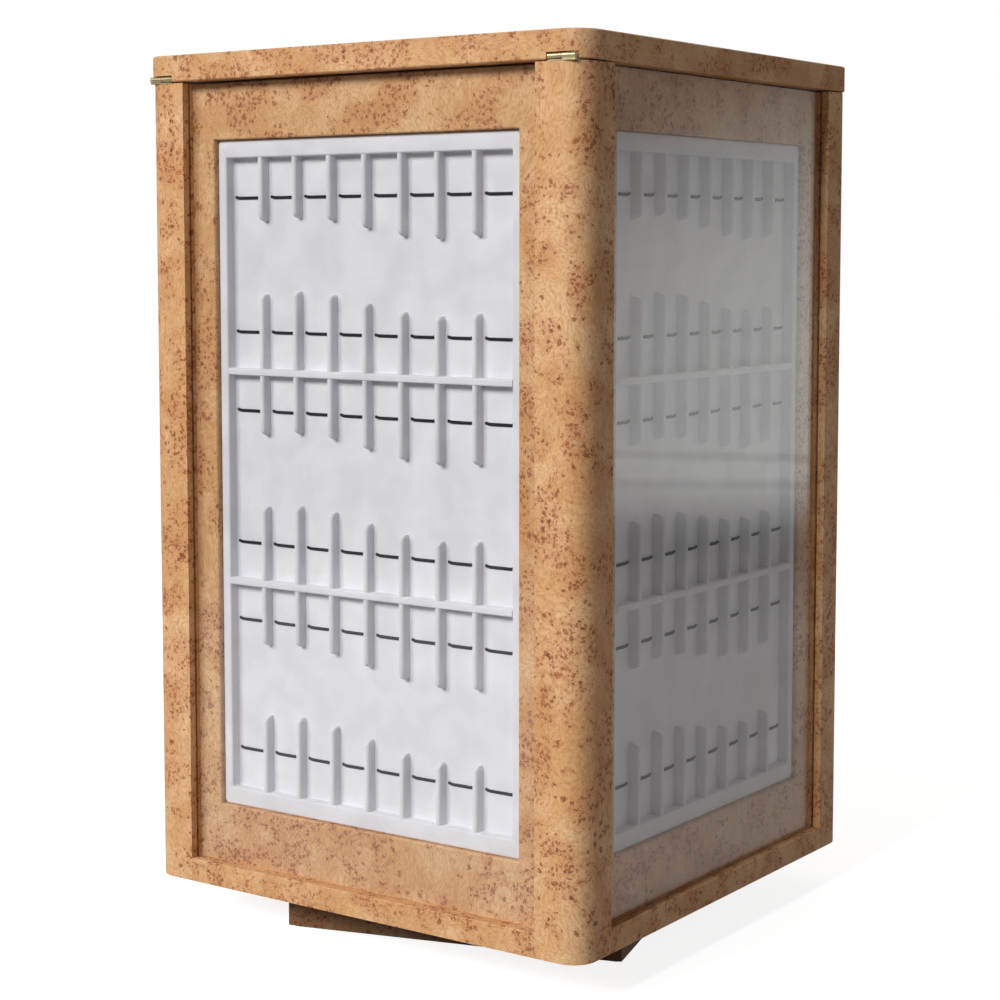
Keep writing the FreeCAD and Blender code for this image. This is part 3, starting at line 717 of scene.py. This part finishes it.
dress(BURL_LID, "lid_board")
dress(BURL_PLINTH, "base_plinth")
for corner_name in CORNERS:
    dress(BURL_POST, f"corner_post_{corner_name}")
for face_name in FACES:
    dress(BURL_RAIL, f"bottom_rail_{face_name}")
    dress(BURL_FRAME, f"inner_frame_{face_name}")
    dress(GLASS, f"glass_pane_{face_name}")
for side_name in SIDES:
    dress(BRASS, f"hinge_lower_leaf_{side_name}", f"hinge_upper_leaf_{side_name}", f"hinge_pin_{side_name}")
dress(BOARD, "bottom_board", "core_top_board")
dress(STEEL, "turntable_lower_plate", "turntable_upper_plate", "turntable_pivot", "plinth_screws",
      "deck_screws")
dress(NYLON, "turntable_glide_ring")


# Stage

def direction(azimuth, elevation):
    """Way out from the stand's middle, at angles as the camera's views have them."""
    turn = math.radians(azimuth)
    rise = math.radians(elevation)
    return Vector((math.sin(turn) * math.cos(rise), -math.cos(turn) * math.cos(rise), math.sin(rise)))


def make_floor():
    """Pale floor that runs out into white and keeps the stand's shadow."""
    paint = Paint("floor")
    distance = paint.add("ShaderNodeVectorMath", {0: paint.place()}, operation="LENGTH").outputs["Value"]
    glow = paint.ramp(distance, GLOW_FROM, GLOW_TO, GLOW_AT_STAND, 1.0)
    path = paint.add("ShaderNodeLightPath").outputs
    mirrored = paint.calc("MULTIPLY", path["Is Glossy Ray"], GLOW_MIRRORED)
    seen = paint.calc("MAXIMUM", path["Is Camera Ray"], mirrored)
    light = paint.add("ShaderNodeEmission", {"Strength": paint.calc("MULTIPLY", glow, seen)})
    paint.set(Base_Color=srgb(168, 168, 168), Roughness=0.9, Specular_IOR_Level=0.0)
    lit = paint.add("ShaderNodeAddShader", {0: paint.shader.outputs[0], 1: light.outputs[0]})
    gone = paint.add("ShaderNodeBsdfTransparent")
    paint.show(paint.add("ShaderNodeMixShader", {
        0: paint.ramp(distance, FADE_FROM, FADE_TO), 1: lit.outputs[0], 2: gone.outputs[0]}))
    form = bmesh.new()
    bmesh.ops.create_grid(form, x_segments=1, y_segments=1, size=FLOOR_HALF)
    mesh = bpy.data.meshes.new("floor")
    form.to_mesh(mesh)
    form.free()
    floor = bpy.data.objects.new("floor", mesh)
    mesh.materials.append(paint.block)
    bpy.context.scene.collection.objects.link(floor)


def make_world():
    """Dim room with pale walls to the right and behind, and white where the camera sees it."""
    world = Nodes(bpy.data.worlds.new("studio"), "ShaderNodeOutputWorld")
    way = world.add("ShaderNodeTexCoord").outputs["Generated"]
    light = DIM_ROOM
    for azimuth, elevation, reach, colour in PALE_WALLS:
        facing = world.add("ShaderNodeVectorMath", {0: way, 1: direction(azimuth, elevation)},
                           operation="DOT_PRODUCT").outputs["Value"]
        share = world.ramp(facing, math.cos(math.radians(reach)), 1)
        wall = world.add("ShaderNodeVectorMath", {0: colour, "Scale": share}, operation="SCALE").outputs[0]
        light = world.add("ShaderNodeVectorMath", {0: light, 1: wall}, operation="ADD").outputs[0]
    height = world.add("ShaderNodeSeparateXYZ", {0: way}).outputs["Z"]
    strength = world.ramp(height, WALL_FOOT, WALL_START, FOOT_LIGHT, 1.0)
    for seam in SEAMS:
        away = world.calc("ABSOLUTE", world.calc("SUBTRACT", height, seam))
        strength = world.calc("MULTIPLY", strength, world.ramp(away, SEAM_HALF, SEAM_FADE, SEAM_LIGHT, 1.0))
    room = world.add("ShaderNodeBackground", {"Color": light, "Strength": strength})
    white = world.add("ShaderNodeBackground", {"Color": (1.0, 1.0, 1.0, 1.0), "Strength": 1.0})
    seen = world.add("ShaderNodeLightPath").outputs["Is Camera Ray"]
    world.show(world.add("ShaderNodeMixShader", {0: seen, 1: room.outputs[0], 2: white.outputs[0]}))
    bpy.context.scene.world = world.block


def make_softbox(name, azimuth, elevation, distance, width, height, power):
    """Area light that faces the stand's middle."""
    light = bpy.data.lights.new(name, "AREA")
    light.shape = "RECTANGLE"
    light.size = width
    light.size_y = height
    light.energy = power
    lamp = bpy.data.objects.new(name, light)
    away = direction(azimuth, elevation)
    lamp.location = Vector((0, 0, (cad_box[0].z + cad_box[1].z) / 2)) + away * distance
    lamp.rotation_euler = away.to_track_quat("Z", "Y").to_euler()
    bpy.context.scene.collection.objects.link(lamp)


def make_camera():
    """Camera at the photo's viewpoint, tipped down a little, with shift for the rest of the framing."""
    data = bpy.data.cameras.new("camera")
    data.sensor_width = SENSOR_WIDTH
    data.lens = LENS
    data.shift_y = UPRIGHT_SHIFT
    data.clip_start = NEAREST
    data.clip_end = FARTHEST
    camera = bpy.data.objects.new("camera", data)
    camera.location = CAMERA_PLACE
    camera.rotation_euler = Euler((math.radians(90 - CAMERA_TIP), 0, math.radians(CAMERA_TURN)))
    bpy.context.scene.collection.objects.link(camera)
    bpy.context.scene.camera = camera


make_floor()
make_world()
make_softbox("key", azimuth=-20, elevation=29, distance=8.0, width=4.0, height=2.5, power=390)
make_softbox("edge", azimuth=2.9, elevation=29, distance=8.0, width=0.4, height=2.5, power=270)
make_camera()
bpy.context.scene.view_settings.view_transform = "Standard"
